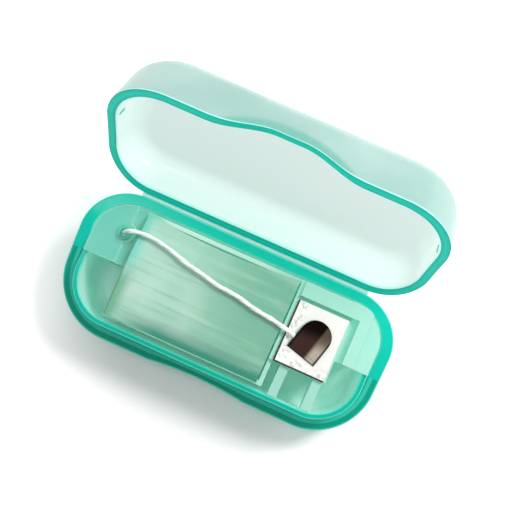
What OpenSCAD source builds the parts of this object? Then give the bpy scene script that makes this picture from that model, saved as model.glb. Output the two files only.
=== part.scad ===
// Pocket dental floss box: a moulded clamshell case with a film hinge, an insert that
// carries the steel cutter, and an oblong winding of floss under a frosted window.
// Millimetres. The origin is the centre of the case's underside, +X runs along the
// case, +Y to the hinge and +Z up. The lid is drawn open, as the case is photographed.

/* [Case] */
// Outer length of the closed case, along X
case_l = 68; // [64:1:74]
// Outer width of the closed case, from thumb side to hinge side
case_w = 30; // [29:0.5:32]
// Height of the base at its rear rim
base_h = 14.5; // [14.5:0.5:16]
// Height of the lid above the rear rim
lid_h = 9.5; // [9:0.5:12]
// Plan radius of the two corners on the hinge side
rear_r = 10; // [9:0.5:11]
// Plan radius of the two corners on the thumb side
front_r = 12; // [11:0.5:12.5]
// How far the parting line drops from the hinge side to the thumb side
drop = 5.7; // [5:0.1:6.5]
// How far the base stands out past the closed lid, at its ends and thumb side
proud = 0.6; // [0:0.1:0.8]
// Angle that the lid is drawn open from closed
open_deg = 126; // [0:1:180]

/* [Walls] */
// Thickness of the base's floor
floor_t = 1.3; // [1:0.1:1.6]
// Wall of the base round its rear half
base_wall = 2.1; // [1.8:0.1:2.4]
// Wall of the base round its front half, ledge and lip together
front_wall = 3.25; // [3:0.05:3.5]
// Width of the ledge that the lid's skirt stands on
ledge_w = 2.05; // [2:0.05:2.3]
// Mean wall of the lid
lid_wall = 1.95; // [1.7:0.05:1.95]
// Thickness of the lid's top
lid_top_t = 1.4; // [1.2:0.1:1.8]
// Gap between the two rims when the case is closed
rim_gap = 0.15; // [0.1:0.05:0.3]

/* [Thumb notch] */
// Half length of the wave in the lid's front rim
wave_half = 15; // [12:0.2:16]
// Height of the wave
wave_h = 3.7; // [2:0.1:4]
// Radius of the dish in the lid's front wall
lid_dish_r = 97.5; // [90:0.5:110]
// Radius of the dish in the base's front wall
base_dish_r = 81; // [75:1:95]

/* [Cutter] */
// Size of the steel plate along X
plate_x = 11; // [10:0.1:11.3]
// Size of the steel plate along Y
plate_y = 13.4; // [12:0.1:14]
// Thickness of the steel
steel_t = 0.4; // [0.3:0.05:0.5]
// Width of the raised tongue
tongue_w = 6.5; // [5:0.1:7]
// Length of the raised tongue
tongue_l = 8.2; // [7:0.1:8.5]
// Turn of the tongue on the plate
tongue_deg = -15; // [-20:1:0]

/* [Floss] */
// Diameter of the free strand, which has puffed up
strand_d = 1.1; // [0.8:0.1:1.2]
// Diameter of the floss as wound
floss_d = 0.75; // [0.5:0.05:0.8]
// Turns in the outer layer of the winding
turns = 14; // [10:1:14]
// Width that each turn takes
turn_pitch = 1.3; // [1.3:0.05:1.35]
// Share of its width that the winding draws in at its middle
waist = 0.1; // [0:0.02:0.1]

/* [Hidden] */
$fn = 72;
eps = 0.01;
far = 200;

half_l = case_l / 2;
half_w = case_w / 2;
base_round = 3.4;      // edge round of the base's underside
lid_round = 5.5;       // edge round of the lid's top
inner_round = 3.2;     // edge round inside the base
lid_inner_round = 4.1; // edge round inside the lid

// Parting line, seen from the end: level at the hinge, then one slope to the thumb side
slope_y = 6.5;
slope_deg = atan(drop / (slope_y + half_w));
front_z = base_h - drop;
lip_z = base_h - 1.2;

// Film hinge
hinge_gap = 0.3;
hinge_y = half_w + hinge_gap;
hinge_z = base_h + rim_gap / 2;
film_t = 0.3;
film_half = half_l - rear_r;
film_clear = 0.03;

// Lid cavity: its rear wall is a little thicker than its front one
lid_cavity_shift = 0.05;
ridge_r = 0.5;
ridge_proud = 0.12;
ridge_len = 2.4;
ridge_y = -3;

// Thumb dishes: each is a ball that cuts a round of this radius out of the front wall
lid_dish_round = 17.9;
lid_dish_top = base_h + 0.8;
base_dish_round = 11;
base_dish_z = base_h - 5;

// Insert
fit_gap = 0.15;
frame_t = 0.9;
deck_t = 1;
foot_z = floor_t + 0.1;
bay_x0 = -22.4;
bay_x1 = 13;
bay_y0 = -10.6;
bay_y1 = 12.4;
bay_z = base_h - 0.2;
deck_z = base_h - 0.5;
left_deck_x = -24.8;
shelf_t = 0.6;         // low shelf between the left deck and the bay
shelf_z = deck_z - 0.5;
skirt_y = 0;
bench_x1 = 24.4;
bench_y0 = -4.9;
bench_z = base_h + 0.3;
rear_band_y = 9.3;
rear_band_z = base_h + 1.1;
side_band_x0 = 25.9;
side_band_x = 28;
rib_x = [15.7, 22.9];
rib_w = 1.9;
rib_end_y = -11.6;
rib_end_z = base_h - 1.1;
notch_y = [8.4, 11.2];
notch_z = 9.8;

// Window over the winding bay
window_t = 0.8;
window_crown_r = 90;
window_edge_z = bay_z;
window_inset = 0.35;
window_bow = 0.9;      // how far its rear edge bows in

// Outlet in the left deck
eyelet = [-25.4, 6.5];
eyelet_bore_r = 0.8;
eyelet_body_r = 1.2;
eyelet_flange_r = 1.5;
eyelet_top_z = deck_z + 0.5;
eyelet_low_z = deck_z - 1.4;
tab_r = 2.3;

// Cutter plate, on the bench
plate_x0 = bay_x1;
plate_y0 = bench_y0;
plate_corner = 0.3;
tongue_root = [17.6, -2.05];
tongue_clear = 0.15;
tongue_step = 1;       // length and height of the bend at its root
tongue_tip_z = 1.9;    // height of its free end above the plate

// Winding: turns run lengthwise over and under the plate
pack_x = (bay_x0 + bay_x1) / 2;
pack_y = 1.3;
pack_z = 7.4;
body_half_l = 15.3;
body_half_h = 4.8;
winding_gap = 0.3;
coil_half_l = body_half_l + winding_gap + floss_d / 2;
coil_half_h = body_half_h + winding_gap + floss_d / 2;
pack_half_w = turns * turn_pitch / 2;
card_half_l = 10.3;
card_t = 1.6;
cheek_t = 1;
cheek_half_h = 5.4;
rings_per_turn = 24;
coil_sides = 6;
cord_sides = 8;

// The route of the free strand, from the outlet to the cutter
strand_route = [
    [-25.4, 6.5, 13.4], [-25.4, 6.5, 14.6], [-25, 6.6, 15.8], [-24, 7, 16.6],
    [-22.5, 7.4, 16.7], [-20.5, 7.6, 16.4], [-18.4, 7.5, 16.2], [-16, 7.1, 16.2],
    [-13.6, 6.5, 16.2], [-11.2, 5.8, 16.3], [-8.6, 5.3, 16.3], [-6, 4.8, 16.35],
    [-3.2, 4.2, 16.35], [-0.6, 4, 16.4], [2, 3.7, 16.4], [4.6, 3.1, 16.4],
    [7.2, 2.7, 16.4], [9.8, 2.4, 16.4], [12, 2, 16.35], [13.8, 1.6, 15.9],
    [15.1, 1.25, 15.62], [16.4, 0.9, 15.6]];
strand_tip_d = 0.7;    // the tongue's edge nips the strand
// The hidden stretch from the winding's last turn up into the outlet
feed_route = [
    [pack_x - coil_half_l, pack_y + pack_half_w, pack_z + floss_d],
    [-20.6, 10.4, 9.4], [-21, 10.2, 10.5], [-22, 9.7, 11.2], [-23.2, 9, 11.6],
    [-24.3, 8.1, 11.8], [-25.1, 7.2, 12.3], [-25.4, 6.6, 13], [-25.4, 6.5, 13.4]];

// Plan outline of the case: two corner radii, tangent to straight sides
module outline(a, b, rr, rf) {
    polygon([[a - rr, b], [a, b - rr], [a, rf - b], [a - rf, -b],
        [rf - a, -b], [-a, rf - b], [-a, b - rr], [rr - a, b]]);
    for (side = [-1, 1]) {
        translate([side * (a - rr), b - rr]) circle(rr);
        translate([side * (a - rf), rf - b]) circle(rf);
    }
}

// Upright wall profile from 0 to w, with a round of radius e at its lower outer edge
module round_profile(w, h, e) {
    square([w - e, h]);
    translate([0, e]) square([w, h - e]);
    intersection() {
        translate([w - e, e]) circle(e);
        square([w, 2 * e]);
    }
}

// Side strip of a pan: the profile drawn along X for a length
module strip(w, h, e, length) {
    rotate([90, 0, 90]) linear_extrude(length) round_profile(w, h, e);
}

// Right half of a pan, in pieces that meet face to face
module half_pan(a, b, rr, rf, h, e) {
    translate([a - rr, b - rr, 0]) rotate_extrude(angle = 90) round_profile(rr, h, e);
    translate([a - rf, rf - b, 0])
        rotate([0, 0, -90]) rotate_extrude(angle = 90) round_profile(rf, h, e);
    translate([a - rf, b - rr, 0])
        rotate([0, 0, -90]) strip(rf, h, e, 2 * b - rr - rf);
}

// Pan with a flat underside at z = 0 and a round of radius e along its lower edge
module pan(a, b, rr, rf, h, e) {
    half_pan(a, b, rr, rf, h, e);
    mirror([1, 0, 0]) half_pan(a, b, rr, rf, h, e);
    translate([rr - a, b - rr, 0]) strip(rr, h, e, 2 * (a - rr));
    translate([a - rf, rf - b, 0]) rotate([0, 0, 180]) strip(rf, h, e, 2 * (a - rf));
    translate([rf - a, rf - b, 0]) cube([2 * (a - rf), 2 * b - rr - rf, h]);
}

// Everything above the parting line, raised by lift
module above_parting(lift) {
    translate([-far / 2, 0, 0])
        rotate([90, 0, 90])
            linear_extrude(far)
                polygon([[-far, front_z + lift], [-half_w, front_z + lift],
                    [slope_y, base_h + lift], [far, base_h + lift], [far, far], [-far, far]]);
}

// Ball that dishes the front wall: its round on the wall has this radius and centre
module dish(ball_r, round_r, centre_z, wall_y) {
    translate([0, -wall_y - sqrt(ball_r * ball_r - round_r * round_r), centre_z])
        sphere(r = ball_r, $fn = 200);
}

// Wave of the lid's front rim: a flat crest with a cosine fall on each side
function wave_z(x) = let (t = min(max((wave_half - abs(x)) / (0.85 * wave_half), 0), 1))
    wave_h * (1 - cos(180 * t)) / 2;

module wave_cut() {
    steps = 36;
    reach = 5;
    translate([0, -half_w, front_z + rim_gap])
        rotate([90 + slope_deg, 0, 0])
            translate([0, 0, -reach])
                linear_extrude(2 * reach)
                    polygon(concat([[wave_half, -1], [-wave_half, -1]],
                        [for (i = [1 : steps - 1])
                            let (x = -wave_half + 2 * wave_half * i / steps) [x, wave_z(x)]]));
}

// Turns a lid drawn closed into its open place
module opened() {
    translate([0, hinge_y, hinge_z])
        rotate([-open_deg, 0, 0])
            translate([0, -hinge_y, -hinge_z]) children();
}

// Space inside the base, or the same space less a gap all round
module base_cavity(gap = 0) {
    depth = far / 4;
    thin = base_wall + gap;
    thick = front_wall + gap;
    translate([0, 0, floor_t + gap]) {
        pan(half_l - thick, half_w - thick, rear_r - thick, front_r - thick, depth,
            inner_round);
        intersection() {
            pan(half_l - thin, half_w - thin, rear_r - thin, front_r - thin, depth,
                inner_round);
            translate([-half_l, skirt_y, 0]) cube([case_l, half_w, depth]);
        }
    }
}

// Lip round the front half of the base, which the lid's skirt slides over
module front_lip() {
    low_z = front_z - 3;
    intersection() {
        translate([0, 0, low_z])
            linear_extrude(lip_z - low_z)
                outline(half_l - ledge_w, half_w - ledge_w, rear_r - ledge_w,
                    front_r - ledge_w);
        translate([-half_l, skirt_y - case_w, 0]) cube([case_l, case_w, far]);
    }
}

module base_shell() {
    color([0.16, 0.75, 0.67])
        difference() {
            union() {
                difference() {
                    translate([0, -proud / 2, 0])
                        pan(half_l + proud, half_w + proud / 2, rear_r + proud / 2,
                            front_r + proud, base_h, base_round);
                    above_parting(0);
                    dish(base_dish_r, base_dish_round, base_dish_z, half_w + proud);
                }
                front_lip();
            }
            base_cavity();
        }
}

// Small upright ridge inside each end of the lid, where it clicks past the base's lip
module lid_ridges() {
    inner_x = half_l - lid_wall;
    for (side = [-1, 1])
        translate([side * (inner_x + ridge_r - ridge_proud), ridge_y, lip_z + 0.2])
            cylinder(r = ridge_r, h = ridge_len);
}

module lid_closed() {
    tall = lid_h + drop;
    difference() {
        translate([0, 0, base_h + lid_h]) mirror([0, 0, 1])
            pan(half_l, half_w, rear_r, front_r, tall + 1, lid_round);
        translate([0, -lid_cavity_shift, base_h + lid_h - lid_top_t]) mirror([0, 0, 1])
            pan(half_l - lid_wall, half_w - lid_wall, rear_r - lid_wall,
                front_r - lid_wall, tall + 2, lid_inner_round);
        difference() {
            translate([-far / 2, -far / 2, -far / 2]) cube(far);
            above_parting(rim_gap);
        }
        wave_cut();
        dish(lid_dish_r, lid_dish_round, lid_dish_top - lid_dish_round, half_w);
    }
    intersection() {
        lid_ridges();
        above_parting(rim_gap);
    }
}

module lid_shell() {
    color([0.72, 0.89, 0.86]) opened() lid_closed();
}

// Thin web between the two rear rims, which bends as the lid moves
module hinge_film() {
    s = sin(open_deg);
    c = cos(open_deg);
    edge = [hinge_y + hinge_gap * -c + rim_gap / 2 * s,
        hinge_z + hinge_gap * s + rim_gap / 2 * c];
    off = [c, -s] * film_clear;
    near_lid = edge + off;
    color([0.45, 0.93, 0.87])
        translate([-film_half, 0, 0])
            rotate([90, 0, 90])
                linear_extrude(2 * film_half)
                    polygon([[half_w, base_h - film_t], near_lid + [s, c] * film_t,
                        near_lid, [half_w, base_h]]);
}

// Plan of the space inside the base that the insert's decks fill
module deck_plan(x0, x1) {
    inset = base_wall + fit_gap;
    intersection() {
        outline(half_l - inset, half_w - inset, rear_r - inset, front_r - inset);
        translate([x0, skirt_y]) square([x1 - x0, half_w]);
    }
}

// Slab on an end deck's front edge, which reaches down to the floor
module deck_skirt(x0, x1, top_z) {
    inset = base_wall + inner_round;
    translate([0, 0, foot_z])
        linear_extrude(top_z - foot_z)
            intersection() {
                outline(half_l - inset, half_w - inset, rear_r - inset, front_r - inset);
                translate([x0, skirt_y]) square([x1 - x0, frame_t]);
            }
}

module left_deck() {
    difference() {
        union() {
            translate([0, 0, deck_z - deck_t])
                linear_extrude(deck_t) {
                    deck_plan(-half_l, left_deck_x);
                    translate(eyelet) circle(tab_r);
                }
            translate([left_deck_x - 0.2, skirt_y, shelf_z - shelf_t])
                cube([bay_x0 + 0.5 - left_deck_x + 0.2, bay_y1 - skirt_y, shelf_t]);
        }
        translate([eyelet[0], eyelet[1], 0]) cylinder(r = eyelet_body_r, h = far / 4);
    }
    deck_skirt(-half_l, bay_x0 + 0.5, deck_z - 0.5);
}

// Bench under the cutter plate, with its walls, bands and two ribs
module bench() {
    translate([bay_x1 - frame_t, bench_y0, bench_z - deck_t])
        cube([bench_x1 - bay_x1 + frame_t, bay_y1 - bench_y0, deck_t]);
    translate([bay_x1 - frame_t, bench_y0, foot_z])
        cube([bench_x1 - bay_x1 + frame_t, frame_t, bench_z - foot_z]);
    translate([bench_x1 - frame_t, bench_y0, foot_z])
        cube([frame_t, bay_y1 - bench_y0, bench_z - foot_z]);
    translate([bay_x1, rear_band_y, bench_z - eps])
        cube([side_band_x - bay_x1, bay_y1 - rear_band_y, rear_band_z - bench_z + eps]);
    for (x = rib_x)
        translate([x - rib_w / 2, 0, 0])
            rotate([90, 0, 90])
                linear_extrude(rib_w)
                    polygon([[bench_y0 + frame_t, bench_z], [rib_end_y, rib_end_z],
                        [rib_end_y, rib_end_z - 2.4], [bench_y0 + frame_t, base_h - 8]]);
}

module right_deck() {
    translate([0, 0, deck_z - deck_t])
        linear_extrude(deck_t) deck_plan(bench_x1 - frame_t, half_l);
    translate([side_band_x0, skirt_y, deck_z - deck_t])
        cube([side_band_x - side_band_x0, bay_y1 - skirt_y, rear_band_z - deck_z + deck_t]);
    translate([bench_x1 - frame_t, rear_band_y, deck_z - deck_t])
        cube([side_band_x - bench_x1 + frame_t, bay_y1 - rear_band_y,
            rear_band_z - deck_z + deck_t]);
    deck_skirt(bench_x1 - frame_t, half_l, deck_z - 0.5);
}

module bay_walls() {
    difference() {
        translate([bay_x0, bay_y0, foot_z])
            cube([bay_x1 - bay_x0, bay_y1 - bay_y0, bay_z - foot_z]);
        translate([bay_x0 + frame_t, bay_y0 + frame_t, 0])
            cube([bay_x1 - bay_x0 - 2 * frame_t, bay_y1 - bay_y0 - 2 * frame_t, far / 4]);
        translate([bay_x0 - 1, notch_y[0], notch_z])
            cube([frame_t + 2, notch_y[1] - notch_y[0], far / 4]);
    }
}

module insert_frame() {
    color([0.45, 0.82, 0.72])
        intersection() {
            union() {
                bay_walls();
                left_deck();
                bench();
                right_deck();
            }
            base_cavity(fit_gap);
        }
}

// Frosted sheet over the bay: crowned from front to rear, with a bowed rear edge
module window_cover() {
    x0 = bay_x0 + window_inset;
    x1 = bay_x1 - window_inset - frame_t;
    y0 = bay_y0 + window_inset;
    y1 = bay_y1 - window_inset;
    mid_y = (y0 + y1) / 2;
    span = (y1 - y0) / 2;
    inner_r = window_crown_r - window_t;
    axis_z = window_edge_z - sqrt(inner_r * inner_r - span * span);
    bow_half = (x1 - x0) / 2;
    bow_r = (bow_half * bow_half + window_bow * window_bow) / (2 * window_bow);
    color([0.66, 0.86, 0.77])
        difference() {
            intersection() {
                translate([x0, y0, window_edge_z - 1]) cube([x1 - x0, y1 - y0, 5]);
                translate([x0 - 1, mid_y, axis_z])
                    rotate([0, 90, 0]) cylinder(r = window_crown_r, h = x1 - x0 + 2, $fn = 200);
            }
            translate([x0 - 2, mid_y, axis_z])
                rotate([0, 90, 0])
                    cylinder(r = inner_r, h = x1 - x0 + 4, $fn = 200);
            translate([(x0 + x1) / 2, y1 + bow_r - window_bow - 0.1, 0])
                cylinder(r = bow_r, h = far / 4, $fn = 200);
        }
}

module outlet_eyelet() {
    color([0.80, 0.92, 0.87])
        translate([eyelet[0], eyelet[1], 0])
            difference() {
                union() {
                    translate([0, 0, eyelet_low_z])
                        cylinder(r = eyelet_body_r, h = eyelet_top_z - eyelet_low_z);
                    translate([0, 0, deck_z])
                        cylinder(r = eyelet_flange_r, h = eyelet_top_z - deck_z);
                }
                cylinder(r = eyelet_bore_r, h = far / 4);
            }
}

// Plan of the tongue: straight sides and a round free end, from its root along +Y
module tongue_plan(grow) {
    r = tongue_w / 2;
    translate([-r - grow, -grow]) square([tongue_w + 2 * grow, tongue_l - r + grow]);
    translate([0, tongue_l - r]) circle(r + grow);
}

module at_tongue() {
    translate([tongue_root[0], tongue_root[1], 0]) rotate([0, 0, tongue_deg]) children();
}

// Lanced tongue: it bends up at its root and then rises gently to its free end
module tongue() {
    top = bench_z + steel_t;
    profile = [[0, 0], [tongue_step, tongue_step], [tongue_l + 1, tongue_tip_z]];
    at_tongue()
        intersection() {
            translate([0, 0, bench_z]) linear_extrude(5) tongue_plan(0);
            translate([-tongue_w, 0, top - steel_t])
                rotate([90, 0, 90])
                    linear_extrude(2 * tongue_w)
                        polygon(concat(profile, [for (i = [2 : -1 : 0])
                            profile[i] + [0, steel_t]], [[-1, steel_t], [-1, 0]]));
        }
}

module cutter_plate() {
    color([0.86, 0.86, 0.85]) {
        difference() {
            translate([plate_x0, plate_y0, bench_z])
                linear_extrude(steel_t) {
                    translate([plate_corner, 0])
                        square([plate_x - 2 * plate_corner, plate_y]);
                    translate([0, plate_corner])
                        square([plate_x, plate_y - 2 * plate_corner]);
                    for (x = [plate_corner, plate_x - plate_corner])
                        for (y = [plate_corner, plate_y - plate_corner])
                            translate([x, y]) circle(plate_corner, $fn = 24);
                }
            at_tongue()
                translate([0, 0, bench_z - 1])
                    linear_extrude(5)
                        difference() {
                            tongue_plan(tongue_clear);
                            translate([-tongue_w, -1]) square([2 * tongue_w, 1]);
                        }
        }
        tongue();
    }
}

// Flat plate that the floss is wound on, with a cheek on the thumb side only: the
// floss slips off its other end, so the winding never has to turn
module winding_plate() {
    front = pack_y - pack_half_w - floss_d / 2 - 0.2;
    color([0.93, 0.94, 0.92]) {
        translate([pack_x - card_half_l, front - cheek_t / 2, pack_z - card_t / 2])
            cube([2 * card_half_l, 2 * pack_half_w + cheek_t / 2, card_t]);
        translate([pack_x, front, pack_z])
            rotate([90, 0, 0])
                linear_extrude(cheek_t)
                    stadium(body_half_l, cheek_half_h);
    }
}

// Stadium outline: a bar with half-round ends
module stadium(half, r) {
    square([2 * (half - r), 2 * r], center = true);
    for (side = [-1, 1]) translate([side * (half - r), 0]) circle(r);
}

// Inner turns as one packed body round the plate, drawn in at the middle
module floss_body() {
    half_y = pack_half_w;
    draw_in = waist * half_y;
    draw_r = (body_half_l * body_half_l + draw_in * draw_in) / (2 * draw_in);
    front = pack_y - half_y;
    color([0.95, 0.96, 0.93])
        difference() {
            translate([pack_x, pack_y + half_y, pack_z])
                rotate([90, 0, 0])
                    linear_extrude(2 * half_y) stadium(body_half_l, body_half_h);
            translate([pack_x - card_half_l, front - 1, pack_z - card_t / 2])
                cube([2 * card_half_l, 2 * half_y + 2, card_t]);
            for (side = [-1, 1])
                translate([pack_x, pack_y + side * (half_y + draw_r - draw_in), 0])
                    cylinder(r = draw_r, h = far / 4, $fn = 200);
        }
}

function unit(v) = v / norm(v);

// Point at share t of the way round a stadium in the XZ plane, from its left end up
function stadium_point(half, r, t) = let (
        run = 2 * (half - r),
        bend = PI * r,
        total = 2 * (run + bend),
        s = (t - floor(t)) * total)
    s < bend / 2 ? let (a = 180 * s / bend) [-run / 2 - r * cos(a), r * sin(a)] :
    s < bend / 2 + run ? [-run / 2 + s - bend / 2, r] :
    s < 3 * bend / 2 + run ? let (a = 180 * (s - bend / 2 - run) / bend)
        [run / 2 + r * sin(a), r * cos(a)] :
    s < 3 * bend / 2 + 2 * run ? [run / 2 - (s - 3 * bend / 2 - run), -r] :
    let (a = 180 * (s - 3 * bend / 2 - 2 * run) / bend)
        [-run / 2 - r * sin(a), -r * cos(a)];

// Point k of the winding: once round the stadium a turn, steadily across, drawn in
function coil_point(k) = let (
        p = stadium_point(coil_half_l, coil_half_h, k / rings_per_turn),
        across = -pack_half_w + turn_pitch * k / rings_per_turn,
        lean = cos(90 * p[0] / coil_half_l))
    [pack_x + p[0], pack_y + across * (1 - waist * lean * lean), pack_z + p[1]];

coil_rings = turns * rings_per_turn;
coil_route = concat(
    [coil_point(0) - [0, 0, floss_d]],
    [for (k = [0 : coil_rings]) coil_point(k)],
    [coil_point(coil_rings) + [0, 0, floss_d]]);

// Tube swept along a route's own points, as triangles with closed ends. It narrows to
// tip_d over its last three steps.
module tube(route, d, sides, across, tip_d) {
    last = len(route) - 1;
    points = [for (i = [0 : last]) let (
            along = unit(route[min(i + 1, last)] - route[max(i - 1, 0)]),
            n = unit(cross(along, across)),
            b = cross(along, n))
        for (j = [0 : sides - 1]) let (a = 360 * j / sides)
            route[i] + (tip_d + (d - tip_d) * min(1, (last - i) / 3)) / 2
                * (cos(a) * n + sin(a) * b)];
    walls = [for (i = [0 : last - 1]) for (j = [0 : sides - 1]) let (
            p = i * sides + j,
            q = i * sides + (j + 1) % sides)
        for (face = [[p, q, q + sides], [p, q + sides, p + sides]]) face];
    near_end = [for (j = [1 : sides - 2]) [0, j + 1, j]];
    far_end = [for (j = [1 : sides - 2]) [last * sides, last * sides + j, last * sides + j + 1]];
    polyhedron(points, concat(walls, near_end, far_end));
}

// Least gap between one turn of the winding and the next, surface to surface
coil_gap = min([for (k = [0 : coil_rings - rings_per_turn + 6])
    for (m = [-6 : 6])
        let (other = k + rings_per_turn + m)
            if (other >= 0 && other <= coil_rings)
                norm(coil_point(k) - coil_point(other)) - floss_d]);
echo(least_winding_gap = coil_gap);

module floss_winding() {
    color([0.97, 0.98, 0.95]) tube(coil_route, floss_d, coil_sides, [0, 1, 0], floss_d);
}

module floss_feed() {
    color([0.98, 0.98, 0.97]) tube(feed_route, floss_d, cord_sides, [0, 1, 0], floss_d);
}

module floss_strand() {
    color([1, 1, 1]) tube(strand_route, strand_d, cord_sides, [0, 1, 0], strand_tip_d);
}

base_shell();
lid_shell();
hinge_film();
insert_frame();
window_cover();
outlet_eyelet();
cutter_plate();
winding_plate();
floss_body();
floss_winding();
floss_feed();
floss_strand();
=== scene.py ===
"""Looks of the pocket dental floss box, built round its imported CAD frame.

Everything is in the row frame: +X along the case towards the cutter, +Y to the hinge, +Z up,
with the origin on the case's underside. Sizes are in millimetres up to the mesh builder, which
turns them into metres. Smooth shells, the hinge web, the click ridges and the floss replace or
join their plainer CAD nodes; the insert, window, eyelet and plates are the CAD nodes themselves.
"""

import logging
import math
from collections.abc import Callable, Sequence
from dataclasses import dataclass, field
from enum import Enum
from functools import reduce
from typing import ClassVar

import bmesh
import bpy
import numpy as np
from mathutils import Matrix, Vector

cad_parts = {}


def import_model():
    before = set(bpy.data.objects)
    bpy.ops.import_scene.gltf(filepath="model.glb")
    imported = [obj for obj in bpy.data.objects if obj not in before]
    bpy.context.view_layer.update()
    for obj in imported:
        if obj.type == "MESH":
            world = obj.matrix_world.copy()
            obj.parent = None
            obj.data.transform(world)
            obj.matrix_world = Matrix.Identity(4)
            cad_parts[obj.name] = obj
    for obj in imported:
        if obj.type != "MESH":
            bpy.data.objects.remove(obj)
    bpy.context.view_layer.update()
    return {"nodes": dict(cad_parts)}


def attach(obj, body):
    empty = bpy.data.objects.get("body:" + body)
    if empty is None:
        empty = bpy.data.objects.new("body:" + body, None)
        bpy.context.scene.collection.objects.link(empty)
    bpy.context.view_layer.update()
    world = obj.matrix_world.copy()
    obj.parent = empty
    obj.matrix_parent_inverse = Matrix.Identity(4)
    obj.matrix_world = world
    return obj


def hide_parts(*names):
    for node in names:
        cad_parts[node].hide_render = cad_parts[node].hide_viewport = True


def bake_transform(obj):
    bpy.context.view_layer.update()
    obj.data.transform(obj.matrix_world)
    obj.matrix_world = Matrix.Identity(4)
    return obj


log = logging.getLogger("floss_box")

MM = 0.001
Array = np.ndarray
Colour = tuple[float, float, float, float]
Socket = bpy.types.NodeSocket
Node = bpy.types.Node
Object = bpy.types.Object
Material = bpy.types.Material


def linear(r: int, g: int, b: int) -> Colour:
    """Turns an sRGB colour of 0 to 255 into Blender's linear one."""

    def one(v: int) -> float:
        """Turns one channel."""
        c = v / 255
        return c / 12.92 if c <= 0.04045 else ((c + 0.055) / 1.055) ** 2.4

    return one(r), one(g), one(b), 1.0


class Slot(Enum):
    """The record's material slots."""

    CASE = "case_plastic"
    LID = "lid_plastic"
    INSERT = "insert_plastic"
    WINDOW = "window_plastic"
    CARD = "card_plastic"
    STEEL = "cutter_steel"
    FLOSS = "floss_fibre"


class Zone(Enum):
    """Kinds of surface on the two shells, as their marks: rim, inner, glow and a last mark; glow
    is a painted highlight and the last mark is painted shade.
    """

    # EDGE, SHINE and INNER_EDGE carry a painted highlight along rounded edges. BAND, LINE and LIP
    # carry painted shade: dark bands and lines along ledges, lips and rim turns. LEDGE takes some
    # of both.
    WALL = (0, 0, 0, 0)
    RIM = (1, 0, 0, 0)
    EDGE = (1, 0, 1, 0)
    BAND = (1, 0, 0, 1)
    LEDGE = (1, 0, 0.4, 0.3)
    LINE = (1, 0, 0, 0.85)
    LIP = (1, 0, 0, 0.35)
    SHINE = (0, 0, 1, 0)
    INSIDE = (0, 1, 0, 0)
    INNER_EDGE = (0, 1, 1, 0)


# glow is a painted highlight, and the last mark is painted shade.
MARKS = ("rim", "inner", "glow", "painted_shade")


# The case's sizes, as in part.scad


@dataclass(frozen=True)
class Case:
    """Driving sizes of the case, in millimetres, repeated from the CAD source."""

    half_l: float = 34.0
    half_w: float = 15.0
    base_h: float = 14.5
    lid_h: float = 9.5
    rear_r: float = 10.0
    front_r: float = 12.0
    drop: float = 5.7
    proud: float = 0.6
    open_deg: float = 126.0
    floor_t: float = 1.3
    base_wall: float = 2.1
    front_wall: float = 3.25
    ledge_w: float = 2.05
    lid_wall: float = 1.95
    lid_top_t: float = 1.4
    rim_gap: float = 0.15
    base_round: float = 3.4
    lid_round: float = 5.5
    inner_round: float = 3.2
    lid_inner_round: float = 4.1
    slope_y: float = 6.5
    lip_z: float = 13.3
    wave_half: float = 15.0
    wave_h: float = 3.7
    wave_flank: float = 0.85
    hinge_y: float = 15.3
    hinge_z: float = 14.575
    ease: float = 14.0

    def rim(self, y: Array) -> Array:
        """Height of the parting line: level, then a straight slope down, its bend eased."""
        share = np.minimum((self.slope_y - y) / (self.slope_y + self.half_w), 1)
        return self.base_h - self.drop * np.logaddexp(0, self.ease * share) / self.ease

    def wave(self, x: Array, y: Array) -> Array:
        """Height of the thumb wave in the lid's front rim: a cosine flank, a flat crest."""
        t = np.clip((self.wave_half - np.abs(x)) / (self.wave_flank * self.wave_half), 0, 1)
        return np.where(y < 0, self.wave_h * (1 - np.cos(np.pi * t)) / 2, 0)

    def opened(self, points: Array) -> Array:
        """Turns points of the closed lid into its open place."""
        t = math.radians(self.open_deg)
        y, z = points[:, 1] - self.hinge_y, points[:, 2] - self.hinge_z
        turned_y = self.hinge_y + y * math.cos(t) + z * math.sin(t)
        turned_z = self.hinge_z - y * math.sin(t) + z * math.cos(t)
        return np.stack([points[:, 0], turned_y, turned_z], 1)


CASE = Case()


@dataclass(frozen=True)
class Dish:
    """A ball that dishes the front wall."""

    wall_y: float
    ball_r: float
    round_r: float
    centre_z: float
    # How far the dish's painted shade fades in, in mm.
    painted_shade_fade: float = 0.9

    def push(self, plan: Array, z: Array | float) -> Array:
        """Moves plan points of the front wall onto the ball, where it would cut them away."""
        x, y = plan.T
        centre = -self.wall_y - math.sqrt(self.ball_r**2 - self.round_r**2)
        inside = self.ball_r**2 - x**2 - (z - self.centre_z) ** 2
        face = centre + np.sqrt(np.maximum(inside, 0))
        return np.stack([x, np.where(y < 0, np.maximum(y, face), y)], 1)

    def tint(self, plan: Array, z: Array, share: float) -> Array:
        """Painted shade of a pushed ring: the share in the dish, none outside or off the front.
        """
        inwards = self.round_r - np.hypot(plan[:, 0], z - self.centre_z)
        front = plan[:, 1] < -0.8 * self.wall_y
        return np.where(front, share * np.clip(inwards / self.painted_shade_fade, 0, 1), 0)


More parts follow.
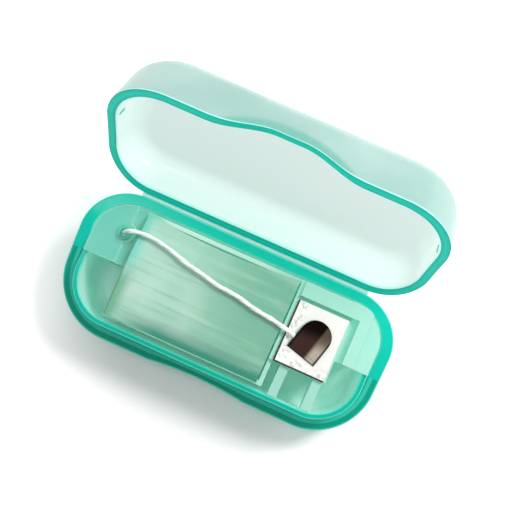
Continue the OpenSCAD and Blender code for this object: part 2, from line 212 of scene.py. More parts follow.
@dataclass(frozen=True)
class Stations:
    """Places round an outline: on which corner arc, or how far along a straight."""

    angle: Array
    corner: Array
    share: Array

    @staticmethod
    def make() -> "Stations":
        """Lays out stations anticlockwise, starting with the rear right corner.

        Returns:
            The stations. Two close ones on each end stand where the front lip begins.
        """
        arc, side, front, rear = 36, 18, 120, 60
        lip_share, hair = 3 / 8, 0.003
        angles, corners, shares = [], [], []
        ends = np.linspace(0, 1, side + 1)[1:-1]
        ends = np.sort(np.append(ends, [lip_share - hair, lip_share + hair]))
        straights = (
            np.linspace(0, 1, rear + 1)[1:-1],
            1 - ends[::-1],
            np.linspace(0, 1, front + 1)[1:-1],
            ends,
        )
        for corner, straight in enumerate(straights):
            a = np.radians(90 * corner + np.linspace(0, 90, arc + 1))
            angles += [a, np.full(len(straight), a[-1])]
            corners.append(np.full(arc + 1 + len(straight), corner))
            shares += [np.zeros(arc + 1), straight]
        return Stations(np.concatenate(angles), np.concatenate(corners), np.concatenate(shares))

    @property
    def normal(self) -> Array:
        """Outward plan normals."""
        return np.stack([np.cos(self.angle), np.sin(self.angle)], 1)


@dataclass(frozen=True)
class Plan:
    """A rounded outline in plan, with its own front, rear and end."""

    half_l: float
    front_y: float
    rear_y: float
    rear_r: float
    front_r: float

    def points(self, st: Stations, inset: Array | float = 0.0) -> Array:
        """Points of the outline, moved inwards.

        Args:
            st: The stations.
            inset: How far inwards, for all stations or for each.

        Returns:
            Plan points, one row a station.
        """
        radius = np.array([self.rear_r, self.rear_r, self.front_r, self.front_r])
        sides = np.array([1, -1, -1, 1])
        ends = np.array([self.rear_y, self.rear_y, self.front_y, self.front_y])
        centre = np.stack([sides * (self.half_l - radius), ends - np.sign(ends) * radius], 1)
        n = st.normal
        at = centre[st.corner] + radius[st.corner, None] * n
        after = (st.corner + 1) % 4
        there = centre[after] + radius[after, None] * n
        moved = np.broadcast_to(inset, len(n))[:, None] * n
        return at + st.share[:, None] * (there - at) - moved


LID_PLAN = Plan(CASE.half_l, -CASE.half_w, CASE.half_w, CASE.rear_r, CASE.front_r)
BASE_PLAN = Plan(
    CASE.half_l + CASE.proud,
    -CASE.half_w - CASE.proud,
    CASE.half_w,
    CASE.rear_r + CASE.proud / 2,
    CASE.front_r + CASE.proud,
)


# Meshes


def mesh_object(
    name: str,
    points_mm: Array,
    faces: list[Sequence[int]],
    marks: dict[str, Array] | None = None,
    crease_deg: float = 38.0,
) -> Object:
    """Makes a smooth object from points in millimetres.

    Args:
        name: The piece's name.
        points_mm: Its points, one row each.
        faces: Point indices of each face.
        marks: Values per point that its material reads, by attribute name.
        crease_deg: Edges sharper than this stay crisp.

    Returns:
        The object, linked, at the origin, with its normals outward.
    """
    mesh = bpy.data.meshes.new(name)
    mesh.from_pydata((points_mm * MM).tolist(), [], faces)
    for key, values in (marks or {}).items():
        mark = mesh.attributes.new(key, "FLOAT", "POINT")
        mark.data.foreach_set("value", np.asarray(values, np.float32))
    bm = bmesh.new()
    bm.from_mesh(mesh)
    bmesh.ops.recalc_face_normals(bm, faces=bm.faces)
    bm.to_mesh(mesh)
    bm.free()
    mesh.shade_smooth()
    mesh.set_sharp_from_angle(angle=math.radians(crease_deg))
    o = bpy.data.objects.new(name, mesh)
    bpy.context.scene.collection.objects.link(o)
    return o


def ring_faces(rows: int, count: int) -> list[Sequence[int]]:
    """Faces of a closed skin: quads between rings of count points, and a cap at each end."""
    i, j = np.meshgrid(np.arange(rows - 1), np.arange(count), indexing="ij")
    a, b = i * count + j, i * count + (j + 1) % count
    quads = np.stack([a, b, b + count, a + count], -1).reshape(-1, 4).tolist()
    last = (rows - 1) * count
    return quads + [list(range(count)), list(range(last, last + count))]


@dataclass
class Shell:
    """A closed shell of rings round an outline, each with the zone it lies in."""

    front: Array
    rings: list[Array] = field(default_factory=list)
    marks: list[Array] = field(default_factory=list)

    def add(
        self,
        plan: Array,
        z: Array | float,
        zone: Zone,
        rear: Zone | None = None,
        more_painted_shade: Array | float = 0.0,
    ) -> None:
        """Adds one ring.

        Args:
            plan: Its plan points.
            z: Its heights.
            zone: Its zone, or that of its thumb side.
            rear: The zone of its hinge side, where that differs.
            more_painted_shade: What to add to the last mark, the painted shade.
        """
        self.rings.append(np.column_stack([plan, np.broadcast_to(z, len(plan))]))
        marks = np.where(self.front[:, None], zone.value, (rear or zone).value).astype(float)
        marks[:, -1] += more_painted_shade
        self.marks.append(marks)

    def build(self, name: str, turn: Callable[[Array], Array] | None = None) -> Object:
        """Turns the rings into an object.

        Args:
            name: The piece's name.
            turn: What moves its points into place, if they need it.

        Returns:
            The object, with its marks.
        """
        count = len(self.rings[0])
        values = np.concatenate(self.marks)
        marks = {key: values[:, k] for k, key in enumerate(MARKS)}
        points = np.concatenate(self.rings)
        placed = turn(points) if turn else points
        return mesh_object(name, placed, ring_faces(len(self.rings), count), marks)


def quarter(count: int) -> list[tuple[float, float]]:
    """Sine and cosine pairs from 0 to 90 degrees, both ends included."""
    return [(math.sin(a), math.cos(a)) for a in np.linspace(0, math.pi / 2, count)]


def along(line: Array) -> Array:
    """Distance of each point of a line from its start, along it."""
    return np.append(0, np.cumsum(np.linalg.norm(np.diff(line, axis=0), axis=1)))


def spline(route: Array, step: float) -> Array:
    """Smooth line through a route's points: a cubic between each two, bent by their neighbours.

    Args:
        route: The points, one row each.
        step: Distance between the points of the line.

    Returns:
        The line's points, evenly spaced.
    """
    fine, least = 40, 8
    p = np.vstack([2 * route[0] - route[1], route, 2 * route[-1] - route[-2]])
    t = np.linspace(0, 1, fine, endpoint=False)[:, None]
    a, b, c, d = p[:-3, None], p[1:-2, None], p[2:-1, None], p[3:, None]
    bend = (2 * a - 5 * b + 4 * c - d) * t**2 + (3 * b - a - 3 * c + d) * t**3
    line = np.vstack([(0.5 * (2 * b + (c - a) * t + bend)).reshape(-1, 3), route[-1:]])
    run = along(line)
    at = np.linspace(0, run[-1], max(least, int(run[-1] / step)))
    return np.stack([np.interp(at, run, line[:, k]) for k in range(3)], 1)


# Materials


Level = Socket | float
Tint = Socket | Colour
Way = tuple[float, float, float]
Span = tuple[Way, float, float]
X, Y, Z = (1, 0, 0), (0, 1, 0), (0, 0, 1)
SEEN_RAYS = ("Camera", "Glossy", "Transmission")
LIGHT_RAYS = ("Shadow", "Diffuse")
WHITE: Colour = (1.0, 1.0, 1.0, 1.0)
PLASTIC_IOR = 1.49


@dataclass(frozen=True)
class Grain:
    """A noise over the object: how fine, detailed and stretched it is, and its bounds."""

    scale: float
    detail: float = 3
    stretch: tuple[float, float, float] = (1, 1, 1)
    bounds: tuple[float, float] | None = None


@dataclass(frozen=True)
class Relief:
    """Fine relief: its grain, strength and depth, and how far edges look rounded, in mm."""

    grain: Grain
    strength: float
    depth: float = 0.05
    edge: float = 0.0


class Tree:
    """A small node builder: makes nodes, sets their values and links them."""

    def __init__(self, tree: bpy.types.NodeTree) -> None:
        """Starts on a node tree."""
        self.tree = tree

    def set(self, node: Node, values: dict) -> Node:
        """Sets a node's inputs, by name or number; a value that is a socket is linked."""
        for key, value in values.items():
            if isinstance(value, Socket):
                self.tree.links.new(value, node.inputs[key])
            else:
                node.inputs[key].default_value = value
        return node

    def node(self, kind: str, values: dict | None = None, **settings) -> Node:
        """Makes a node of a kind, with its settings and input values."""
        made = self.tree.nodes.new("ShaderNode" + kind)
        for key, value in settings.items():
            setattr(made, key, value)
        return self.set(made, values or {})

    def calc(self, kind: str, *values: Level) -> Socket:
        """Combines numbers by a Math node's operation, with each result kept in 0 to 1."""
        settings = {"operation": kind, "use_clamp": True}
        return reduce(lambda a, b: self.node("Math", {0: a, 1: b}, **settings).outputs[0], values)

    def times(self, *factors: Level) -> Socket:
        """The product of numbers of 0 to 1."""
        return self.calc("MULTIPLY", *factors)

    def most(self, *values: Level) -> Socket:
        """The largest of numbers of 0 to 1."""
        return self.calc("MAXIMUM", *values)

    def rays(self, kinds: Sequence[str]) -> Socket:
        """1 for rays of these kinds, 0 for the others."""
        path = self.node("LightPath")
        return self.most(*(path.outputs[f"Is {kind} Ray"] for kind in kinds))


class Shader(Tree):
    """A material with one Principled shader."""

    def __init__(self, name: str) -> None:
        """Starts the material."""
        self.material = bpy.data.materials.new(name)
        self.material.use_nodes = True
        super().__init__(self.material.node_tree)
        self.surface = self.tree.nodes["Principled BSDF"]
        self.output = self.tree.nodes["Material Output"]

    def mix(self, share: Level, a: Tint, b: Tint, most: float = 1.0) -> Socket:
        """Mixes two colours, by a share that is multiplied by the last number first."""
        part = share if most == 1 else self.times(share, most)
        return self.node("Mix", {0: part, 6: a, 7: b}, data_type="RGBA").outputs[2]

    def level(self, share: Socket, a: Level, b: Level) -> Socket:
        """Mixes two numbers."""
        return self.node("Mix", {0: share, 2: a, 3: b}).outputs[0]

    def mark(self, name: str) -> Socket:
        """Reads a mark of the mesh."""
        return self.node("Attribute", attribute_name=name).outputs["Fac"]

    def step(self, value: Socket, low: float, high: float) -> Socket:
        """A smooth 0 to 1 step of a value between two bounds."""
        limits = {"Value": value, "From Min": low, "From Max": high}
        made = self.node("MapRange", limits, interpolation_type="SMOOTHSTEP")
        return made.outputs["Result"]

    def past(self, span: Span) -> Socket:
        """Rises over a span of the object: a way, and the places in mm of its 0 and its 1."""
        way, start, end = span
        at = self.node("TexCoord").outputs["Object"]
        place = self.node("VectorMath", {0: at, 1: way}, operation="DOT_PRODUCT")
        return self.step(place.outputs["Value"], start * MM, end * MM)

    def every(self, *spans: Span) -> Socket:
        """1 where all spans are passed."""
        return self.times(*map(self.past, spans))

    def any(self, *spans: Span) -> Socket:
        """1 where a span is passed."""
        return self.most(*map(self.past, spans))

    def grain(self, g: Grain) -> Socket:
        """A noise of 0 to 1 over the object coordinates, cut at its bounds."""
        at = self.node("TexCoord").outputs["Object"]
        mapped = self.node("Mapping", {"Vector": at, "Scale": g.stretch}).outputs["Vector"]
        values = {"Vector": mapped, "Scale": g.scale, "Detail": g.detail}
        noise = self.node("TexNoise", values).outputs[0]
        return self.step(noise, *g.bounds) if g.bounds else noise

    def relief(self, r: Relief) -> None:
        """Adds fine relief, over edges that are rounded in the shading."""
        values = {"Height": self.grain(r.grain), "Strength": r.strength, "Distance": r.depth * MM}
        if r.edge:
            bevel = self.node("Bevel", {"Radius": r.edge * MM}, samples=4)
            values["Normal"] = bevel.outputs["Normal"]
        self.set(self.surface, {"Normal": self.node("Bump", values).outputs["Normal"]})

    def near_edge(self, reach_mm: float) -> Socket:
        """Rises to 1 at the crisp edges of a piece, from nothing at this distance."""
        bevel = self.node("Bevel", {"Radius": reach_mm * MM}, samples=6).outputs["Normal"]
        true = self.node("NewGeometry").outputs["True Normal"]
        same = self.node("VectorMath", {0: bevel, 1: true}, operation="DOT_PRODUCT")
        return self.step(same.outputs["Value"], 0.995, 0.9)

    def blend(self, share: Level, a: Socket, b: Socket) -> Socket:
        """Mixes two shaders."""
        return self.node("MixShader", {0: share, 1: a, 2: b}).outputs[0]

    def let_through(self, glow: float, clear: Level, tint: Tint, passed: Tint) -> None:
        """Makes a plastic wall pass light.

        Args:
            glow: Share of light that it scatters through.
            clear: Share of lamp and bounced light that crosses it straight.
            tint: The tint of the scattered light.
            passed: The tint of the light that crosses straight.
        """
        through = self.node("BsdfTranslucent", {"Color": tint}).outputs[0]
        see = self.node("BsdfTransparent", {"Color": passed}).outputs[0]
        solid = self.blend(glow, self.surface.outputs[0], through)
        share = self.times(self.rays(LIGHT_RAYS), clear)
        self.set(self.output, {"Surface": self.blend(share, solid, see)})

    def grazing(self) -> Socket:
        """Rises to 1 where a surface is seen along itself, to hold back its gloss."""
        facing = self.node("LayerWeight", {"Blend": 0.5}).outputs["Facing"]
        return self.step(facing, 0.66, 1.0)

    def way_out(self, shade: float) -> Socket:
        """1 for light on its way out of the walls, less by the shade for light that enters."""
        enters = self.node("NewGeometry").outputs["Backfacing"]
        outer = self.calc("SUBTRACT", 1.0, self.mark("inner"))
        blocked = self.times(outer, self.calc("SUBTRACT", 1.0, enters), shade)
        return self.calc("SUBTRACT", 1.0, blocked)


@dataclass(frozen=True)
class ShellFinish:
    """Glossy moulded plastic of a shell, tinted by its marks with painted highlights and painted
    shade, cloudy and lightly scuffed.
    """

    name: str
    wall: Colour
    rim: Colour
    inside: Colour
    # The inside, painted lighter towards the right end, where it falls in shade.
    inside_right_painted_light: Colour
    # Colour of the painted highlight along edges.
    glow: Colour
    # Colour of the painted shade in bands, lines and hollows.
    painted_shade: Colour
    light: Colour
    rim_light: Colour
    passed: Colour
    roughness: float
    scatter: float
    clear: float
    shade: float
    # Where the painted light on the inside rises, in mm.
    right: Span = (X, 0, 20)
    cloud: Grain = Grain(55, 2, bounds=(0.35, 0.7))
    scuff: Grain = Grain(900, 4, (1, 0.2, 1), (0.5, 0.8))
    scuffed: float = 0.16
    wall_gloss: float = 0.42
    rim_gloss: float = 0.2
    relief: Relief = Relief(Grain(240, 2), 0.05)

    def make(self) -> Material:
        """Builds the material."""
        s = Shader(self.name)
        cloud = s.grain(self.cloud)
        wall = s.mix(cloud, self.wall, self.light, 0.16)
        # Painted light: the inside lightens towards the right end.
        inside = s.mix(s.past(self.right), self.inside, self.inside_right_painted_light)
        inside = s.mix(cloud, inside, self.light, 0.3)
        colour = s.mix(s.mark("rim"), wall, self.rim)
        colour = s.mix(s.mark("inner"), colour, inside)
        # Painted shade, then painted highlight, where the marks say.
        colour = s.mix(s.mark("painted_shade"), colour, self.painted_shade)
        colour = s.mix(s.mark("glow"), colour, self.glow)
        rough = s.level(s.grain(self.scuff), self.roughness, self.roughness + self.scuffed)
        gloss = s.level(s.mark("rim"), self.wall_gloss, self.rim_gloss)
        gloss = s.level(s.grazing(), gloss, 0.0)
        s.set(s.surface, {"Base Color": colour, "Roughness": rough, "IOR": PLASTIC_IOR})
        s.set(s.surface, {"Specular IOR Level": gloss})
        s.relief(self.relief)
        tint = s.mix(s.mark("rim"), self.light, self.rim_light)
        clear = s.times(s.way_out(self.shade), self.clear)
        s.let_through(self.scatter, clear, tint, self.passed)
        return s.material


@dataclass(frozen=True)
class InsertFinish:
    """Satin pale green plastic, deeper in colour at the outlet end, with a painted highlight
    along its edges, a painted strip of light and a painted shadow slot.
    """

    name: str = "insert_plastic"
    outlet_end: Colour = linear(62, 186, 168)
    cutter_end: Colour = linear(176, 228, 214)
    # A pale tone for the random mottle, and the colour of the painted highlight along edges.
    edge: Colour = linear(206, 248, 238)
    # Painted light: a pale strip behind the window's rear edge.
    painted_light_strip: Colour = linear(230, 248, 240)
    # Colour of the painted shadow in the slot behind the cutter plate.
    painted_groove_shade: Colour = linear(104, 150, 138)
    passed: Colour = linear(186, 240, 226)
    ends: Span = (X, -23, -12)
    # Where the painted strip of light lies.
    painted_light_strip_at: tuple[Span, ...] = ((Y, 10.4, 11.6), (X, 10, 2), (X, -21, -17))
    # Where the painted shadow in the slot lies.
    painted_shadow_at: tuple[Span, ...] = ((Y, 8.3, 8.6), (Y, 9.35, 9.2), (X, 12.5, 13), (X, 24.5, 24.2))
    mottle: Grain = Grain(160)
    relief: Relief = Relief(Grain(500), 0.08, edge=0.2)

    def make(self) -> Material:
        """Builds the material."""
        s = Shader(self.name)
        colour = s.mix(s.past(self.ends), self.outlet_end, self.cutter_end)
        colour = s.mix(s.grain(self.mottle), colour, self.edge, 0.3)
        # Painted strip of light behind the window's rear edge.
        colour = s.mix(s.every(*self.painted_light_strip_at), colour, self.painted_light_strip, 0.8)
        # Painted highlight along the edges.
        colour = s.mix(s.near_edge(0.4), colour, self.edge, 0.85)
        # Painted shadow in the slot behind the cutter plate.
        colour = s.mix(s.every(*self.painted_shadow_at), colour, self.painted_groove_shade, 0.8)
        s.set(s.surface, {"Base Color": colour, "Roughness": 0.32, "IOR": PLASTIC_IOR})
        s.relief(self.relief)
        s.let_through(0.3, 0.75, self.passed, self.passed)
        return s.material


@dataclass(frozen=True)
class WindowFinish:
    """Frosted green sheet with long pale streaks, through which the floss shows softly."""

    outlet_end: Colour = linear(190, 224, 212)
    cutter_end: Colour = linear(136, 190, 170)
    margin: Colour = linear(48, 136, 120)
    tab: Colour = linear(96, 200, 180)
    haze: Colour = linear(228, 242, 236)
    streak: Colour = linear(214, 236, 222)
    pale: Colour = linear(214, 240, 226)
    see_through: float = 0.42
    ends: Span = (X, -19, 8)
    left_edge: Span = (X, -18.8, -21.8)
    tab_at: Span = (Y, -3, 3)
    margin_at: tuple[Span, ...] = ((Y, -6.6, -10.2), (X, -22.5, -10))
    haze_at: Span = (X, 6, -14)
    cloud: Grain = Grain(110, 4, bounds=(0.42, 0.68))
    streaks: Grain = Grain(120, 3, (0.35, 3.2, 1), (0.5, 0.78))
    fibres: Grain = Grain(260, 2, (0.12, 6, 1), (0.56, 0.72))
    relief: Relief = Relief(Grain(700, 3, (0.3, 1, 1)), 0.12, 0.04, 0.15)

    def make(self) -> Material:
        """Builds the material."""
        s = Shader("window_plastic")
        colour = s.mix(s.past(self.ends), self.outlet_end, self.cutter_end)
        colour = s.mix(s.grain(self.streaks), colour, self.streak, 0.55)
        colour = s.mix(s.grain(self.fibres), colour, self.margin, 0.25)
        cloud = s.times(s.grain(self.cloud), s.past(self.haze_at))
        colour = s.mix(cloud, colour, self.haze, 0.55)
        edge = s.past(self.left_edge)
        tab = s.times(edge, s.past(self.tab_at))
        colour = s.mix(edge, colour, self.haze, 0.2)
        colour = s.mix(s.every(*self.margin_at), colour, self.margin)
        colour = s.mix(tab, colour, self.tab, 0.9)
        s.set(s.surface, {"Base Color": colour, "Roughness": 0.34, "IOR": 1.45})
        s.relief(self.relief)
        fog = s.node("BsdfRefraction", {"Color": self.pale, "Roughness": 0.36, "IOR": 1.1})
        clear = s.node("BsdfTransparent", {"Color": self.pale})
        light = s.rays(LIGHT_RAYS)
        seen = s.calc("ADD", s.times(light, 0.35), self.see_through)
        seen = s.calc("ADD", seen, s.times(s.calc("SUBTRACT", edge, tab), 0.45))
        seen = s.calc("SUBTRACT", seen, s.times(tab, 0.3))
        see = s.blend(light, fog.outputs[0], clear.outputs[0])
        s.set(s.output, {"Surface": s.blend(seen, s.surface.outputs[0], see)})
        return s.material


@dataclass(frozen=True)
class SteelFinish:
    """Pressed steel: a worn pale plate with painted shadow lines at two edges, and a tongue in
    painted reflection and shade.

    The plate is worn at its left and front edges, and painted shadow lines run along them. The
    tongue leans, so its folds and sides are spans across it, and its root is a span up it.
    """

    plate: Colour = linear(236, 235, 230)
    wear: Colour = linear(140, 144, 137)
    # Colour of the painted shadow lines at the plate's left and front edges.
    painted_edge_shadow: Colour = linear(26, 34, 30)
    # The tongue's colours are painted light: dark for the dark it reflects, painted shade at its
    # top and border, and a painted sheen on its lit side.
    tongue: Colour = linear(62, 44, 40)
    shade: Colour = linear(8, 5, 4)
    crease: Colour = linear(112, 100, 86)
    sheen: Colour = linear(182, 171, 156)
    across: Way = (1, -0.28, 0)
    up: Way = (0.268, 1, 0)
    worn: tuple[Span, ...] = ((X, 16.8, 13.5), (Y, -2, -4.5))
    # Where the painted shadow lines lie.
    edges: tuple[Span, ...] = ((X, 13.4, 13.26), (Y, -4.5, -4.64))
    lifted: Span = (Z, 15.26, 15.4)
    high: Span = (Y, 1.2, 4.2)
    low: Span = (Y, 2.6, -0.4)
    fold: Span = (across, 18.7, 19.3)
    shine: Span = (across, 18.7, 20)
    border: tuple[Span, ...] = ((across, 15.25, 15), (across, 21, 21.3), (up, 3.2, 2.9))
    least_worn: float = 0.12
    spots: Grain = Grain(1300, 6, bounds=(0.46, 0.72))
    relief: Relief = Relief(Grain(800, 5), 0.3, 0.06, 0.1)

    def make(self) -> Material:
        """Builds the material."""
        s = Shader("cutter_steel")
        worn = s.calc("ADD", s.any(*self.worn), self.least_worn)
        spots = s.times(s.grain(self.spots), 0.75, worn)
        plate = s.mix(spots, self.plate, self.wear)
        # Painted shadow lines along the plate's left and front edges.
        plate = s.mix(s.any(*self.edges), plate, self.painted_edge_shadow)
        # Painted shade towards the top, a painted highlight on the lit side, painted shade along
        # the border.
        high = s.past(self.high)
        dark = s.mix(high, self.tongue, self.shade, 0.9)
        painted_highlight = s.mix(s.every(self.shine, self.low), self.crease, self.sheen)
        painted_highlight = s.mix(high, painted_highlight, self.tongue, 0.6)
        tongue = s.mix(s.past(self.fold), dark, painted_highlight)
        border = s.most(s.near_edge(0.35), s.any(*self.border))
        tongue = s.mix(border, tongue, self.shade, 0.85)
        lifted = s.past(self.lifted)
        values = {
            "Base Color": s.mix(lifted, plate, tongue),
            "Metallic": s.level(lifted, 0.4, 1.0),
            "Roughness": s.level(spots, 0.3, 0.55),
        }
        s.set(s.surface, values)
        s.relief(self.relief)
        return s.material


@dataclass(frozen=True)
class FibreFinish:
    """White waxed floss, with painted shade in the grooves between its filaments."""

    name: str
    outlet_end: Colour
    cutter_end: Colour
    # Colour of the painted shade in the grooves.
    painted_groove_shade: Colour
    ends: Span = (X, -20, 6)
    relief: Relief = Relief(Grain(1500, 4, (0.5, 2, 2)), 0.35)

    def make(self) -> Material:
        """Builds the material."""
        s = Shader(self.name)
        ends = s.mix(s.past(self.ends), self.outlet_end, self.cutter_end)
        # Painted shade in the grooves.
        colour = s.mix(s.mark("painted_groove_shade"), ends, self.painted_groove_shade, 0.5)
        s.set(s.surface, {"Base Color": colour, "Roughness": 0.5})
        s.set(s.surface, {"Sheen Weight": 0.35, "Sheen Roughness": 0.5})
        s.relief(self.relief)
        return s.material


@dataclass(frozen=True)
class CardFinish:
    """Plain off-white moulded plastic of the plate inside the winding."""

    colour: Colour = linear(230, 234, 226)
    stain: Colour = linear(206, 214, 200)
    cloud: Grain = Grain(120, bounds=(0.4, 0.7))
    relief: Relief = Relief(Grain(600), 0.15, edge=0.2)

    def make(self) -> Material:
        """Builds the material."""
        s = Shader("card_plastic")
        colour = s.mix(s.grain(self.cloud), self.colour, self.stain)
        s.set(s.surface, {"Base Color": colour, "Roughness": 0.5})
        s.relief(self.relief)
        return s.material


def dress(o: Object, material: Material) -> None:
    """Gives a piece its material."""
    o.data.materials.clear()
    o.data.materials.append(material)


# Sub-assemblies


@dataclass(frozen=True)
class Base:
    """The lower case: rounded underside, dished front, ledge, lip, rim band and inside, with
    painted highlights and painted shade along its rims.
    """

    dish: Dish = Dish(15.6, 81.0, 11.0, 9.5)
    edge_r: float = 0.35
    lip_edge_r: float = 0.2
    inner_edge_r: float = 0.2
    wall_rings: int = 17
    foot_in: float = 0.3
    riser_lean: float = 0.02
    top_in: float = 0.03
    finish: ShellFinish = ShellFinish(
        "case_plastic",
        wall=linear(0, 152, 130),
        rim=linear(0, 198, 178),
        inside=linear(222, 248, 244),
        # The inside painted lighter at the right, then the painted highlight and the painted
        # shade.
        inside_right_painted_light=linear(244, 252, 248),
        glow=linear(96, 226, 208),
        painted_shade=linear(0, 138, 114),
        light=linear(168, 240, 224),
        rim_light=linear(10, 205, 180),
        passed=linear(222, 250, 243),
        roughness=0.16,
        scatter=0.3,
        clear=0.85,
        shade=0.94,
    )

    def shell(self, st: Stations) -> Object:
        """Builds the shell's rings from the underside's middle, out, up, over and down inside."""
        c, e = CASE, self.edge_r
        front = LID_PLAN.points(st)[:, 1] < 0
        shell = Shell(front)

        def outer(inset: float, z: Array | float) -> Array:
            """Plan points of the outer wall at a height, with the dish pushed in."""
            return self.dish.push(BASE_PLAN.points(st, inset), z)

        for s, k in quarter(12):
            z = c.base_round * (1 - k)
            shell.add(outer(c.base_round * (1 - s), z), z, Zone.WALL)
        rim = c.rim(BASE_PLAN.points(st)[:, 1])
        for share in np.linspace(0, 1, self.wall_rings)[1:]:
            z = c.base_round + share * (rim - e - c.base_round)
            shell.add(outer(0, z), z, Zone.WALL)
        # The outer rim's rounding carries a painted highlight.
        for s, k in quarter(5)[1:]:
            plan = outer(0, rim) - e * (1 - k) * st.normal
            zone = Zone.EDGE if 0.3 < s < 0.95 else Zone.RIM
            shell.add(plan, c.rim(plan[:, 1]) - e * (1 - s), zone)
        start = outer(0, rim) - e * st.normal
        foot_inset = np.where(front, c.ledge_w, c.base_wall - self.foot_in)
        foot = LID_PLAN.points(st, foot_inset)
        # Across the front ledge: a dark band of painted shade, some painted highlight, then a
        # dark line of painted shade.
        ledge = (
            (0.05, Zone.BAND, Zone.LIP),
            (0.12, Zone.BAND, Zone.RIM),
            (0.44, Zone.BAND, Zone.RIM),
            (0.52, Zone.LEDGE, Zone.RIM),
            (0.78, Zone.LEDGE, Zone.RIM),
            (0.86, Zone.LINE, Zone.RIM),
            (1.0, Zone.LINE, Zone.RIM),
        )
        for share, zone, rear in ledge:
            plan = start + share * (foot - start)
            shell.add(plan, c.rim(plan[:, 1]), zone, rear)
        foot_z = c.rim(foot[:, 1])
        self.lip(shell, st, foot_inset, foot_z)
        self.inside(shell, st)
        return shell.build("case_base")

    def lip(self, shell: Shell, st: Stations, foot_inset: Array, foot_z: Array) -> None:
        """Adds the lip's riser and rounded top; on the hinge side it is level with the rim.

        Args:
            shell: The shell that gets the rings.
            st: The stations.
            foot_inset: How far inwards the riser's foot stands.
            foot_z: Height of its foot.
        """
        c, front = CASE, shell.front
        r = np.where(front, self.lip_edge_r, 0.0)
        rise = np.where(front, c.lip_z - foot_z, 0.0)
        # The lip's riser is a dark line of painted shade at the front.
        for share in (0.1, 0.5, 1.0):
            plan = LID_PLAN.points(st, foot_inset + self.riser_lean * share)
            shell.add(plan, foot_z + share * (rise - r), Zone.LINE, Zone.RIM)
        # Its rounded top carries a painted highlight.
        for s, k in quarter(4)[1:]:
            plan = LID_PLAN.points(st, foot_inset + self.top_in + r * (1 - k))
            shell.add(plan, foot_z + rise - r * (1 - s), Zone.EDGE, Zone.RIM)
        near = foot_inset + self.top_in + r
        far = np.where(front, c.front_wall, c.base_wall) - self.inner_edge_r
        for share in (0.12, 0.88):
            plan = LID_PLAN.points(st, near + share * (far - near))
            shell.add(plan, foot_z + rise, Zone.LIP, Zone.RIM)

    def inside(self, shell: Shell, st: Stations) -> None:
        """Adds the inner edge, the inner wall and the floor to the shell."""
        c, e, front = CASE, self.inner_edge_r, shell.front
        wall = np.where(front, c.front_wall, c.base_wall)
        top = np.where(front, c.lip_z, c.rim(LID_PLAN.points(st, c.base_wall)[:, 1]))
        # The inner edge carries a painted highlight.
        for s, k in quarter(4):
            zone = Zone.EDGE if s < 0.9 else Zone.INNER_EDGE
            shell.add(LID_PLAN.points(st, wall - e * (1 - s)), top - e * (1 - k), zone)
        low = c.floor_t + c.inner_round
        for share in (0.03, 0.1, 0.35, 0.7, 1.0):
            z = top - e + share * (low - top + e)
            shell.add(LID_PLAN.points(st, wall), z, Zone.INSIDE)
        for s, k in quarter(9)[1:]:
            inset = wall + c.inner_round * (1 - k)
            shell.add(LID_PLAN.points(st, inset), low - c.inner_round * s, Zone.INSIDE)

    def build(self, st: Stations) -> Object:
        """Builds and dresses the base."""
        o = self.shell(st)
        dress(o, self.finish.make())
        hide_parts("base_shell")
        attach(o, "case")
        return o


